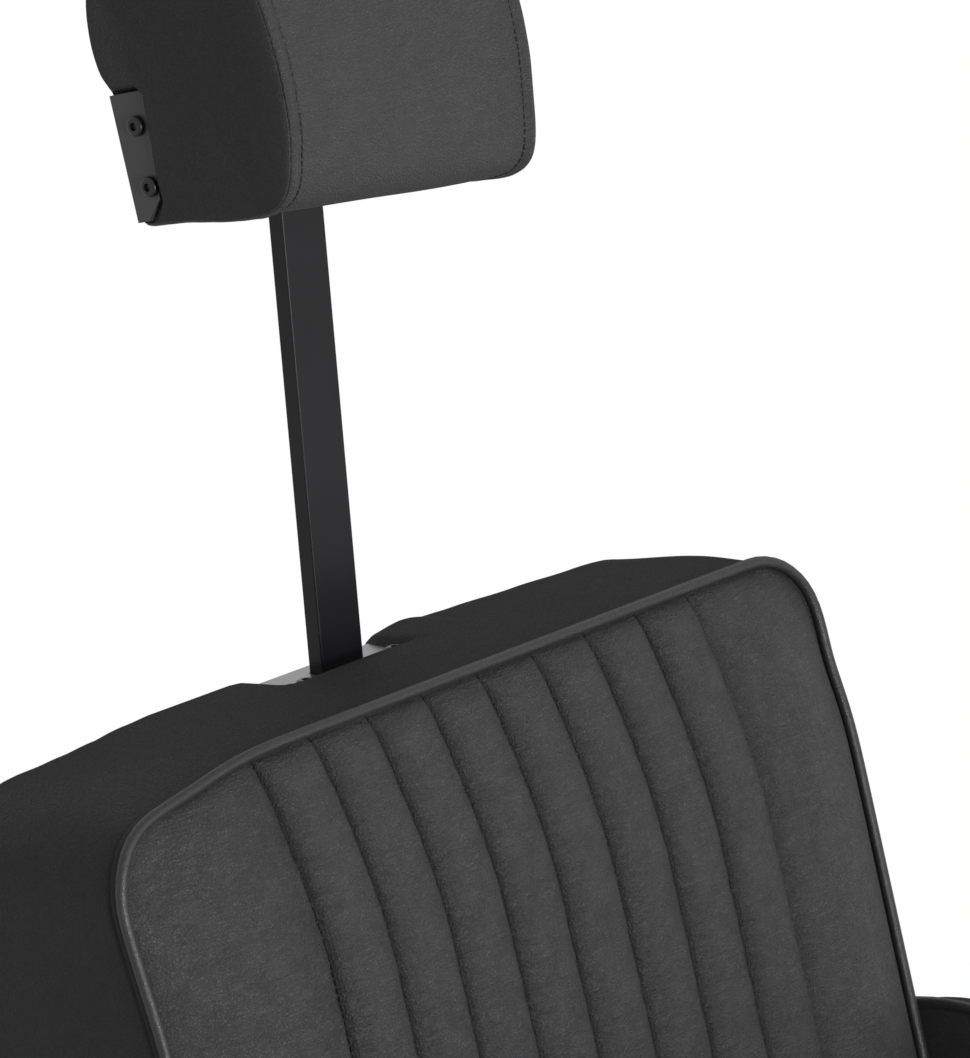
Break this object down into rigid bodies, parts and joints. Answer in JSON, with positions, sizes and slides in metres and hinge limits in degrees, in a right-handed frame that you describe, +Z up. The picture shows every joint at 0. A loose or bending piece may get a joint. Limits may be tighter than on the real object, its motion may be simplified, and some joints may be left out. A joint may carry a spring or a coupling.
{
  "type": "threading chair",
  "caption": "Reclining salon threading chair with a channelled wedge back, a headrest on a sliding flat bar, padded arms, a T footrest and a hydraulic column on a round base.",
  "frame": {"origin": "on the floor, on the column's axis, at the centre of the base's underside", "axes": "+Z up; the sitter faces -Y; +X is the right hand of a viewer who looks at the chair's front"},
  "size_m": [0.7705, 0.9956, 1.3336],
  "materials": {
    "vinyl_channelled": "satin",
    "vinyl_plain": "satin",
    "vinyl_piping": "satin",
    "plywood": "matte",
    "bar_steel": "satin",
    "plate_steel": "satin",
    "frame_steel": "satin",
    "fastener": "satin",
    "chrome": "polished",
    "bearing_steel": "satin",
    "gland_steel": "satin",
    "strut_paint": "gloss",
    "cast_paint": "satin",
    "base_steel": "satin",
    "cover_steel": "gloss",
    "rubber": "matte",
    "cap_plastic": "matte"
  },
  "bodies": {
    "base": {"base_plate": "base_steel", "base_cover": "cover_steel", "base_bolts": "fastener", "pump_housing": "cast_paint", "pump_gland": "gland_steel", "pedal_shaft": "fastener"},
    "pump_pedal": {"pump_pedal": "frame_steel", "pedal_rubber": "rubber"},
    "pump_plunger": {"pump_plunger": "chrome"},
    "ram": {"ram": "chrome", "piston_seal": "rubber", "thrust_bearing": "bearing_steel"},
    "seat": {"swivel_plate": "frame_steel", "seat_rail_left": "frame_steel", "seat_rail_right": "frame_steel", "seat_crossbars": "frame_steel", "seat_board": "plywood", "seat_cushion": "vinyl_channelled", "seat_piping": "vinyl_piping", "seat_bolts": "fastener", "arm_left": "vinyl_plain", "arm_right": "vinyl_plain", "arm_cores": "plywood", "arm_piping": "vinyl_piping", "arm_brackets": "frame_steel", "bracket_bolts": "fastener", "footrest_stem": "frame_steel", "footrest_bar": "frame_steel", "footrest_sleeves": "rubber", "footrest_caps": "cap_plastic", "strut_bracket": "frame_steel", "strut_front_pin": "fastener", "release_bolt": "fastener"},
    "release_lever": {"release_lever": "frame_steel", "release_grip": "cap_plastic"},
    "valve_pin": {"valve_pin": "bearing_steel"},
    "strut_rod": {"strut_rod": "chrome"},
    "strut_cylinder": {"strut_cylinder": "strut_paint"},
    "back": {"recline_shaft": "bearing_steel", "shaft_nuts": "fastener", "back_hinge_left": "frame_steel", "back_hinge_right": "frame_steel", "strut_lever": "frame_steel", "strut_rear_pin": "fastener", "back_board": "plywood", "back_battens": "plywood", "rear_panel": "vinyl_plain", "back_cushion": "vinyl_channelled", "back_piping": "vinyl_piping", "receiver_tube": "frame_steel", "receiver_spring": "bearing_steel", "headrest_plate": "plate_steel", "plate_screws": "fastener", "board_screws": "fastener"},
    "headrest_bar": {"headrest_bar": "bar_steel"},
    "headrest": {"headrest_bracket": "bar_steel", "headrest_board": "plywood", "headrest_cushion": "vinyl_plain", "tilt_pin": "fastener", "bracket_screws": "fastener"}
  },
  "joints": [
    {"name": "column_lift", "type": "slide", "parent": "base", "child": "ram", "axis": [0, 0, 1], "range_m": [0, 0.15]},
    {"name": "seat_swivel", "type": "hinge", "parent": "ram", "child": "seat", "pos_m": [0, 0, 0.375], "axis": [0, 0, 1], "continuous": true},
    {"name": "back_recline", "type": "hinge", "parent": "seat", "child": "back", "pos_m": [0, 0.24, 0.44], "axis": [-1, 0, 0], "range_deg": [0, 30], "stiffness_Nm_per_rad": 40, "springref_deg": -74.48},
    {"name": "strut_swing", "type": "hinge", "parent": "seat", "child": "strut_rod", "pos_m": [0.1485, -0.06, 0.368], "axis": [1, 0, 0], "range_deg": [0, 2]},
    {"name": "strut_stroke", "type": "slide", "parent": "strut_rod", "child": "strut_cylinder", "axis": [0, -1, 0], "range_m": [0, 0.037]},
    {"name": "release_pull", "type": "hinge", "parent": "seat", "child": "release_lever", "pos_m": [0.2, -0.1, 0.362], "axis": [0, 0, -1], "range_deg": [0, 4], "stiffness_Nm_per_rad": 4, "springref_deg": -5.73},
    {"name": "valve_press", "type": "slide", "parent": "strut_rod", "child": "valve_pin", "axis": [0, 1, 0], "range_m": [0, 0.0035]},
    {"name": "headrest_height", "type": "slide", "parent": "back", "child": "headrest_bar", "axis": [0, 0.1063, 0.9943], "range_m": [-0.2, 0.03]},
    {"name": "headrest_tilt", "type": "hinge", "parent": "headrest_bar", "child": "headrest", "pos_m": [0, 0.42429, 1.21538], "axis": [-1, 0, 0], "range_deg": [-25, 15]},
    {"name": "pedal_press", "type": "hinge", "parent": "base", "child": "pump_pedal", "pos_m": [0, 0.072, 0.12], "axis": [-1, 0, 0], "range_deg": [0, 18], "stiffness_Nm_per_rad": 10, "springref_deg": -28.65},
    {"name": "plunger_stroke", "type": "slide", "parent": "base", "child": "pump_plunger", "axis": [0, 0, -1], "range_m": [0, 0.011]}
  ],
  "couplings": [
    {"joint": "strut_swing", "follows": "back_recline", "ratio": 0.0582},
    {"joint": "strut_stroke", "follows": "back_recline", "m_per_rad": 0.0684},
    {"joint": "valve_press", "follows": "release_pull", "m_per_rad": 0.043},
    {"joint": "plunger_stroke", "follows": "pedal_press", "m_per_rad": 0.0345}
  ]
}
